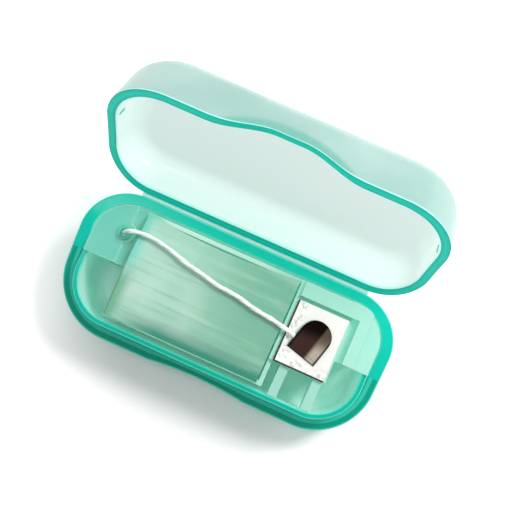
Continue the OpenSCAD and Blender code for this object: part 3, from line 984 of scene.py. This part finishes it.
@dataclass(frozen=True)
class Lid:
    """The lid: rounded top, dished front, waved rim, milky inside and two click ridges."""

    dish: Dish = Dish(15.0, 97.5, 17.9, -2.6)
    edge_r: float = 0.3
    cavity_shift: float = -0.05
    # Painted shade of a dark outline half way round the top's corner.
    corner_painted_shade: float = 0.6
    # Painted shade in the thumb dish.
    dish_painted_shade: float = 0.9
    ridge_y: float = -3.0
    ridge_r: float = 0.5
    ridge_proud: float = 0.12
    ridge_z: tuple[float, float] = (13.5, 15.9)
    ridge_tip: float = 0.35
    ridge_least: float = 0.02
    ridge_sides: int = 24
    finish: ShellFinish = ShellFinish(
        "lid_plastic",
        wall=linear(120, 158, 151),
        rim=linear(14, 204, 186),
        inside=linear(246, 250, 250),
        # The inside painted lighter at the right, then the painted highlight and the painted
        # shade.
        inside_right_painted_light=linear(250, 252, 252),
        glow=linear(176, 250, 240),
        painted_shade=linear(0, 140, 124),
        light=linear(240, 249, 247),
        rim_light=linear(24, 205, 184),
        passed=linear(240, 250, 247),
        roughness=0.15,
        scatter=0.34,
        clear=0.85,
        shade=0.1,
    )

    def shell(self, st: Stations) -> Object:
        """Builds the shell's rings from the top's middle, down, over the rim and up inside.

        Painted shade deepens half way round the top's corner, as a dark outline, by the sixth
        power of the sine of twice the angle, and painted shade lies in the thumb dish.
        """
        c, e = CASE, self.edge_r
        shell = Shell(LID_PLAN.points(st)[:, 1] < 0)
        top = c.base_h + c.lid_h

        def rim_at(plan: Array) -> Array:
            """Height of the lid's lower edge."""
            return c.rim(plan[:, 1]) + c.rim_gap + c.wave(plan[:, 0], plan[:, 1])

        def outer(inset: float, z: Array | float) -> Array:
            """Plan points of the outer wall at a height, with the dish pushed in."""
            return self.dish.push(LID_PLAN.points(st, inset), z)

        def inner(inset: float) -> Array:
            """Plan points of the inner wall."""
            return LID_PLAN.points(st, c.lid_wall + inset) + np.array([0, self.cavity_shift])

        for s, k in quarter(20):
            z = top - c.lid_round * (1 - k)
            # Painted shade of a dark outline round the top's corner.
            thick = self.corner_painted_shade * (2 * s * k) ** 6
            shell.add(outer(c.lid_round * (1 - s), z), z, Zone.WALL, more_painted_shade=thick)
        rim = rim_at(LID_PLAN.points(st))
        start = top - c.lid_round
        for share in np.append(np.linspace(0, 1, 36)[1:-1], [0.985, 1.0]):
            z = start + share * (rim + e - start)
            plan = outer(0, z)
            # Painted shade in the thumb dish.
            tint = self.dish.tint(plan, z, self.dish_painted_shade)
            # The last ring carries a painted highlight.
            shell.add(plan, z, Zone.SHINE if share == 1 else Zone.WALL, more_painted_shade=tint)
        # Round the rim's turn: painted highlight, dark lines of painted shade, then the lip's
        # light painted shade.
        turn = (Zone.SHINE, Zone.LINE, Zone.LINE, Zone.LIP)
        for (s, k), zone in zip(quarter(5)[1:], turn):
            plan = outer(0, rim) - e * (1 - k) * st.normal
            shell.add(plan, rim_at(plan) + e * (1 - s), zone)
        for share, zone in ((0.2, Zone.LIP), (0.5, Zone.RIM), (0.8, Zone.LIP)):
            edge = inner(0) + e * st.normal
            plan = outer(0, rim) - e * st.normal
            plan = plan + share * (edge - plan)
            shell.add(plan, rim_at(plan), zone)
        inner_rim = rim_at(inner(0))
        # Dark lines of painted shade, then a painted highlight round the inner edge.
        turn = (Zone.LINE, Zone.LINE, Zone.INNER_EDGE, Zone.INNER_EDGE, Zone.INNER_EDGE)
        for (s, k), zone in zip(quarter(5), turn):
            plan = inner(0) + e * (1 - s) * st.normal
            shell.add(plan, inner_rim + e * (1 - k), zone)
        wall_top = top - c.lid_top_t - c.lid_inner_round
        for depth, zone in ((0.12, Zone.INNER_EDGE), (0.4, Zone.INSIDE), (0.9, Zone.INSIDE)):
            low = inner_rim + e + depth
            shell.add(inner(0), low, zone)
        for share in (0.2, 0.4, 0.6, 0.8, 1.0):
            shell.add(inner(0), low + share * (wall_top - low), Zone.INSIDE)
        for s, k in quarter(12)[1:]:
            z = wall_top + c.lid_inner_round * s
            shell.add(inner(c.lid_inner_round * (1 - k)), z, Zone.INSIDE)
        return shell.build("case_lid", c.opened)

    def ridge(self, side: int) -> Object:
        """Builds the small upright ridge inside one end, with rounded tips.

        Args:
            side: 1 for the right end, -1 for the left.

        Returns:
            The ridge, in the open lid's place.
        """
        x = side * (CASE.half_l - CASE.lid_wall + self.ridge_r - self.ridge_proud)
        low, high = self.ridge_z
        tip, sides = quarter(6), self.ridge_sides
        rows = [(s, low + self.ridge_tip * (1 - k)) for s, k in tip]
        rows += [(s, high - self.ridge_tip * (1 - k)) for s, k in tip[::-1]]
        size, z = np.array(rows).T
        angle = np.linspace(0, 2 * math.pi, sides, endpoint=False)
        r = np.maximum(self.ridge_r * size, self.ridge_least)[:, None]
        heights = np.broadcast_to(z[:, None], (len(rows), sides))
        rings = np.stack([x + r * np.cos(angle), self.ridge_y + r * np.sin(angle), heights], -1)
        points = CASE.opened(rings.reshape(-1, 3))
        marks = {key: np.full(len(points), key == "rim") for key in MARKS}
        name = "lid_click_ridge_" + ("right" if side > 0 else "left")
        return mesh_object(name, points, ring_faces(len(rows), sides), marks)

    def build(self, st: Stations) -> list[Object]:
        """Builds and dresses the lid and its ridges."""
        material = self.finish.make()
        pieces = [self.shell(st), self.ridge(-1), self.ridge(1)]
        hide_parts("lid_shell")
        for o in pieces:
            dress(o, material)
            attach(o, "lid")
        return pieces


@dataclass(frozen=True)
class HingeWeb:
    """The thin web between the two rear rims, bowed a little away from the case, with a painted
    highlight line along its middle.
    """

    half: float = 25.3
    thin: float = 0.07
    thick: float = 0.15
    bow: float = 0.1
    into_base: float = 0.15
    into_lid: float = 0.12
    # Width of the painted highlight line.
    painted_line_width: float = 0.24
    rows: int = 25
    across: int = 13
    colour: Colour = linear(0, 150, 134)
    # The painted highlight's colour; pale, which also tints the light through the web, mixes in
    # at random.
    painted_highlight: Colour = linear(190, 254, 252)
    pale: Colour = linear(240, 255, 254)
    mottle: Grain = Grain(300)

    def section(self) -> Array:
        """The web's closed section in Y and Z: a bowed line, thickest at its two ends."""
        near = np.array([CASE.half_w, CASE.base_h - self.into_base])
        edge = np.array([[0.0, CASE.half_w, CASE.base_h + CASE.rim_gap + self.into_lid]])
        lid = CASE.opened(edge)[0, 1:]
        share = np.linspace(0, 1, self.across)[:, None]
        line = (lid - near) / np.linalg.norm(lid - near)
        across = np.array([line[1], -line[0]])
        mid = near + share * (lid - near) + self.bow * np.sin(math.pi * share) * across
        half = self.thin + (self.thick - self.thin) * (2 * share - 1) ** 2
        return np.concatenate([mid + half * across, (mid - half * across)[::-1]])

    def build(self) -> Object:
        """Builds and dresses the web."""
        loop = self.section()
        xs = np.linspace(-self.half, self.half, self.rows)
        at = np.repeat(xs, len(loop))[:, None]
        points = np.hstack([at, np.tile(loop, (len(xs), 1))])
        share = np.linspace(0, 1, self.across)
        # Painted highlight along the web's middle.
        line = np.exp(-(((share - 0.5) / self.painted_line_width) ** 2))
        marks = {"glow": np.tile(np.append(line, line[::-1]), len(xs))}
        o = mesh_object("hinge_web", points, ring_faces(len(xs), len(loop)), marks)
        s = Shader("web_plastic")
        painted_highlight = s.mix(s.grain(self.mottle), self.painted_highlight, self.pale)
        tint = s.mix(s.mark("glow"), self.colour, painted_highlight)
        s.set(s.surface, {"Base Color": tint, "Roughness": 0.14, "IOR": PLASTIC_IOR})
        s.let_through(0.55, 0.6, self.pale, self.pale)
        dress(o, s.material)
        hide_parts("hinge_film")
        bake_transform(o)
        return o


@dataclass(frozen=True)
class Fittings:
    """The moulded and pressed pieces inside the base, which are the CAD nodes themselves."""

    insert: InsertFinish = InsertFinish()
    # The eyelet's painted edge highlight is a teal near its body colour.
    eyelet: InsertFinish = InsertFinish("eyelet_plastic", edge=linear(96, 204, 186))
    window: WindowFinish = WindowFinish()
    steel: SteelFinish = SteelFinish()
    card: CardFinish = CardFinish()

    def build(self, nodes: dict[str, Object]) -> list[Object]:
        """Dresses the nodes and returns them."""
        finishes = {
            "insert_frame": (self.insert.make(), Slot.INSERT),
            "window_cover": (self.window.make(), Slot.WINDOW),
            "outlet_eyelet": (self.eyelet.make(), Slot.INSERT),
            "cutter_plate": (self.steel.make(), Slot.STEEL),
            "winding_plate": (self.card.make(), Slot.CARD),
        }
        for name, (material, slot) in finishes.items():
            dress(nodes[name], material)
        return [nodes[name] for name in finishes]


@dataclass(frozen=True)
class Twist:
    """A twisted bundle of filaments laid along a line."""

    sides: int
    lobes: int
    depth: float
    pitch: float
    reference: tuple[float, float, float] = (0.03, 1.0, 0.02)
    fine_share: float = 0.35

    def lay(self, name: str, line: Array, radius: Array) -> Object:
        """Builds the bundle as a tube whose lobes, and finer ones on them, turn as it goes.

        Args:
            name: The piece's name.
            line: Its centre line, in millimetres.
            radius: Its mean radius at each point of the line.

        Returns:
            The object, with its grooves marked.
        """
        ahead = np.gradient(line, axis=0)
        ahead /= np.linalg.norm(ahead, axis=1)[:, None]
        u = np.cross(ahead, self.reference)
        u /= np.linalg.norm(u, axis=1)[:, None]
        v = np.cross(ahead, u)
        run = along(line)[:, None]
        angle = np.linspace(0, 2 * math.pi, self.sides, endpoint=False)[None, :]
        turn = 2 * math.pi * run / self.pitch
        lobe = np.cos(self.lobes * (angle + turn))
        fine = np.cos((self.lobes + 4) * angle + 3 * turn + 1.7 * np.sin(0.9 * run))
        relief = lobe + self.fine_share * fine
        r = radius[:, None] * (1 + self.depth * relief)
        across = np.cos(angle)[..., None] * u[:, None] + np.sin(angle)[..., None] * v[:, None]
        points = (line[:, None] + r[..., None] * across).reshape(-1, 3)
        # The groove mark sets where the floss material paints shade.
        marks = {"painted_groove_shade": np.clip(-relief.ravel(), 0, 1)}
        return mesh_object(name, points, ring_faces(len(line), self.sides), marks, 80)


@dataclass(frozen=True)
class Strand:
    """The free strand from the outlet to the tongue, and the stretch that feeds it."""

    radius: float = 0.46
    tip_radius: float = 0.33
    fray_at: float = 16.0
    wisp_count: int = 9
    wisp_radius: float = 0.045
    step: float = 0.1
    feed_radius: float = 0.37
    feed_step: float = 0.15
    finish: FibreFinish = FibreFinish(
        "floss_fibre",
        outlet_end=linear(226, 240, 235),
        cutter_end=linear(250, 250, 248),
        painted_groove_shade=linear(186, 196, 190),
    )
    route: ClassVar[Array] = np.array([
        [-25.4, 6.5, 13.4], [-25.4, 6.5, 14.6], [-25, 6.6, 15.8], [-24, 7, 16.6],
        [-22.5, 7.4, 16.7], [-20.5, 7.6, 16.4], [-18.4, 7.5, 16.2], [-16, 7.1, 16.2],
        [-13.6, 6.5, 16.2], [-11.2, 5.8, 16.3], [-8.6, 5.3, 16.3], [-6, 4.8, 16.35],
        [-3.2, 4.2, 16.35], [-0.6, 4, 16.4], [2, 3.7, 16.4], [4.6, 3.1, 16.4],
        [7.2, 2.7, 16.4], [9.8, 2.4, 16.4], [12, 2, 16.35], [13.8, 1.6, 15.9],
        [15.1, 1.25, 15.62], [16.4, 0.9, 15.6],
    ])
    feed_route: ClassVar[Array] = np.array([
        [-20.7, 10.4, 8.15], [-20.6, 10.4, 9.4], [-21, 10.2, 10.5], [-22, 9.7, 11.2],
        [-23.2, 9, 11.6], [-24.3, 8.1, 11.8], [-25.1, 7.2, 12.3], [-25.4, 6.6, 13],
        [-25.4, 6.5, 13.4],
    ])

    def strand(self) -> Object:
        """Builds the strand: uneven by two sines, thicker at its fray, slim at both ends."""
        line = spline(self.route, self.step)
        run = along(line)
        left = run[-1] - run
        uneven = 1 + 0.05 * np.sin(1.9 * run) + 0.04 * np.sin(4.7 * run + 1)
        fray = 0.24 * np.exp(-(((run - self.fray_at) / 1.1) ** 2))
        slim = 0.2 * np.exp(-((run / 3.5) ** 2))
        radius = self.radius * (uneven + fray - slim)
        nip = self.tip_radius + 0.3 * np.clip(left / 3.0, 0, 1)
        o = Twist(24, 3, 0.04, 9.0).lay("strand", line, np.minimum(radius, nip))
        return o

    def wisps(self) -> Object:
        """Builds a few loose filaments where the strand frays."""
        line = spline(self.route, self.step)
        rng = np.random.default_rng(4)
        n, rows = self.wisp_count, 14
        start = np.searchsorted(along(line), self.fray_at + rng.uniform(-2.2, 1.2, n))
        span = np.linspace(0, 1, rows)
        at = start[:, None] + (span * rng.uniform(12, 24, (n, 1))).astype(int)
        lift = np.sin(math.pi * np.minimum(span * rng.uniform(0.55, 1.0, (n, 1)), 1))
        aside = rng.uniform(-0.75, 0.75, (n, 1)) * lift
        up = rng.uniform(0.25, 0.55, (n, 1)) * lift
        mid = line[at] + np.stack([0 * lift, aside, up], -1)
        angle = np.linspace(0, 2 * math.pi, 4, endpoint=False)
        ring = self.wisp_radius * np.stack([0 * angle, np.cos(angle), np.sin(angle)], 1)
        points = (mid[:, :, None] + ring).reshape(-1, 3)
        one = np.array(ring_faces(rows, 4))
        faces = (one + np.arange(n)[:, None, None] * rows * 4).reshape(-1, 4).tolist()
        return mesh_object("strand_wisps", points, faces, {"painted_groove_shade": np.zeros(len(points))}, 80)

    def build(self) -> list[Object]:
        """Builds and dresses the strand, its wisps and the feed."""
        fibre = self.finish.make()
        line = spline(self.feed_route, self.feed_step)
        radius = np.full(len(line), self.feed_radius)
        feed = Twist(12, 3, 0.08, 4.0).lay("feed", line, radius)
        strand, wisps = self.strand(), self.wisps()
        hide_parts("floss_strand")
        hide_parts("floss_feed")
        for o in (strand, wisps, feed):
            dress(o, fibre)
            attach(o, "case")
        return [strand, wisps, feed]


@dataclass(frozen=True)
class Winding:
    """Turns of floss laid lengthwise round the flat plate, in two layers."""

    centre: tuple[float, float, float] = (-4.7, 1.3, 7.4)
    waist: float = 0.1
    wander: float = 0.12
    per_turn: int = 64
    finish: FibreFinish = FibreFinish(
        "wound_fibre",
        outlet_end=linear(234, 240, 232),
        cutter_end=linear(176, 214, 192),
        painted_groove_shade=linear(110, 170, 142),
    )

    def line(self, half: float, height: float, turns: int, pitch: float) -> Array:
        """Centre line of one layer.

        Each turn runs over the plate, half round its right end, back under it and half round
        its left end, while it moves on by one pitch. The runs are drawn in at their middle by
        a cosine, and wander a little.

        Args:
            half: Half length of a turn.
            height: Half height of a turn.
            turns: How many turns.
            pitch: Width that each takes.

        Returns:
            The line's points.
        """
        s = np.arange(turns * self.per_turn + 1) / self.per_turn
        run, bend = 2 * (half - height), math.pi * height
        total = 2 * (run + bend)
        d = (s % 1) * total
        q = np.where(d < 1.5 * bend + 2 * run, d, d - total)
        a, b = q / height, (q - bend / 2 - run) / height
        parts = [q < bend / 2, q < bend / 2 + run, q < 1.5 * bend + run]
        left = -run / 2 - height * np.cos(a)
        right = run / 2 + height * np.sin(b)
        over, under = q - bend / 2 - run / 2, run / 2 - (q - 1.5 * bend - run)
        x = np.select(parts, [left, over, right], under)
        z = np.select(parts, [height * np.sin(a), height, height * np.cos(b)], -height)
        lean = np.cos(np.pi / 2 * np.clip(x / half, -1, 1))
        drift = self.wander * np.sin(2.1 * s * math.pi) * lean
        y = pitch * (s - turns / 2) * (1 - self.waist * lean**2) + drift
        return np.stack([x, y, z], 1) + np.array(self.centre)

    def build(self) -> list[Object]:
        """Builds and dresses both layers."""
        material = self.finish.make()
        pieces = []
        layers = (
            ("winding_outer", "floss_winding", self.line(16.0, 5.48, 24, 0.76), 0.39),
            ("winding_inner", "floss_body", self.line(15.4, 4.85, 23, 0.79), 0.42),
        )
        for name, node, line, radius in layers:
            o = Twist(10, 2, 0.07, 4.0).lay(name, line, np.full(len(line), radius))
            dress(o, material)
            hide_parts(node)
            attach(o, "case")
            pieces.append(o)
        return pieces


# Camera and light


def look(o: Object, way: Vector) -> None:
    """Turns a camera or lamp so that it looks a way."""
    o.rotation_mode = "QUATERNION"
    o.rotation_quaternion = way.to_track_quat("-Z", "Y")
    bpy.context.scene.collection.objects.link(o)


@dataclass(frozen=True)
class Viewpoint:
    """The photo's camera, fitted to the outlines of the case."""

    position_mm: tuple[float, float, float] = (8.398, -2.726, 155.721)
    azimuth_deg: float = 24.05
    elevation_deg: float = 83.04
    focal_px: float = 694.9
    picture_px: int = 512
    sensor_mm: float = 36.0

    def build(self) -> None:
        """Makes the camera and sets it as the scene's."""
        data = bpy.data.cameras.new("photo_camera")
        data.sensor_width = self.sensor_mm
        data.lens = self.focal_px / self.picture_px * self.sensor_mm
        data.clip_start, data.clip_end = 0.01, 10.0
        a, e = math.radians(self.azimuth_deg), math.radians(self.elevation_deg)
        back = Vector((math.sin(a) * math.cos(e), -math.cos(a) * math.cos(e), math.sin(e)))
        camera = bpy.data.objects.new("photo_camera", data)
        camera.location = Vector(self.position_mm) * MM
        look(camera, -back)
        bpy.context.scene.camera = camera


@dataclass(frozen=True)
class Lamp:
    """A rectangular area lamp that faces the object."""

    name: str
    at: tuple[float, float, float]
    size: tuple[float, float]
    watts: float

    def build(self) -> None:
        """Makes the lamp."""
        data = bpy.data.lights.new(self.name, "AREA")
        data.shape, data.energy = "RECTANGLE", self.watts
        data.size, data.size_y = self.size
        o = bpy.data.objects.new(self.name, data)
        o.location = self.at
        look(o, Vector((0, 0, 0.01)) - Vector(self.at))


@dataclass(frozen=True)
class Studio:
    """White ground, even light all round, a key lamp behind the right end and two small ones.

    The ground shows the case's shadow near the case. Further off, between two distances in mm,
    it brightens up to white for the rays that are looked along.
    """

    even_light: float = 0.5
    seen_light: float = 1.0
    far_light: float = 0.55
    far_from: tuple[float, float] = (22, 62)
    ground_level: tuple[float, float] = (0.94, 0.97)
    grain: Grain = Grain(40, 2)
    half_ground: float = 2.0
    lamps: tuple[Lamp, ...] = (
        Lamp("key", (0.14, 0.18, 0.23), (0.09, 0.09), 0.88),
        Lamp("glint", (-0.10, 0.02, 0.30), (0.05, 0.05), 0.08),
        Lamp("streak", (-0.06, 0.30, 0.24), (0.22, 0.03), 0.16),
    )

    def ground(self) -> None:
        """Makes the ground."""
        s = Shader("ground_white")
        at = s.node("TexCoord").outputs["Object"]
        away = s.node("VectorMath", {0: at}, operation="LENGTH").outputs["Value"]
        start, end = self.far_from
        far = s.step(away, start * MM, end * MM)
        glow = s.times(s.rays(SEEN_RAYS), far, self.far_light)
        values = {
            "Base Color": s.level(s.grain(self.grain), *self.ground_level),
            "Roughness": 1.0,
            "Specular IOR Level": 0.0,
            "Emission Color": WHITE,
            "Emission Strength": glow,
        }
        s.set(s.surface, values)
        h = self.half_ground
        mesh = bpy.data.meshes.new("ground")
        mesh.from_pydata([(-h, -h, 0), (h, -h, 0), (h, h, 0), (-h, h, 0)], [], [(0, 1, 2, 3)])
        mesh.materials.append(s.material)
        ground = bpy.data.objects.new("ground", mesh)
        bpy.context.scene.collection.objects.link(ground)

    def sky(self) -> None:
        """Makes the world: plain white light, and pure white where it is seen."""
        world = bpy.data.worlds.new("plain_light")
        bpy.context.scene.world = world
        world.use_nodes = True
        t = Tree(world.node_tree)
        limits = {"To Min": self.even_light, "To Max": self.seen_light}
        level = t.node("MapRange", {"Value": t.rays(SEEN_RAYS), **limits}).outputs["Result"]
        t.set(t.tree.nodes["Background"], {"Color": WHITE, "Strength": level})

    def build(self) -> None:
        """Makes ground, world and lamps."""
        bpy.context.scene.view_settings.view_transform = "Standard"
        self.ground()
        self.sky()
        for lamp in self.lamps:
            lamp.build()


def main() -> None:
    """Builds the whole scene and logs each piece's face count."""
    logging.basicConfig(level=logging.INFO, format="%(name)s: %(message)s")
    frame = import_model()
    stations = Stations.make()
    pieces = [Base().build(stations), *Lid().build(stations), HingeWeb().build()]
    pieces += Fittings().build(frame["nodes"])
    pieces += Strand().build() + Winding().build()
    for o in pieces:
        log.info("%s: %d faces", o.name, len(o.data.polygons))
    Studio().build()
    Viewpoint().build()


if __name__ == "__main__":
    main()
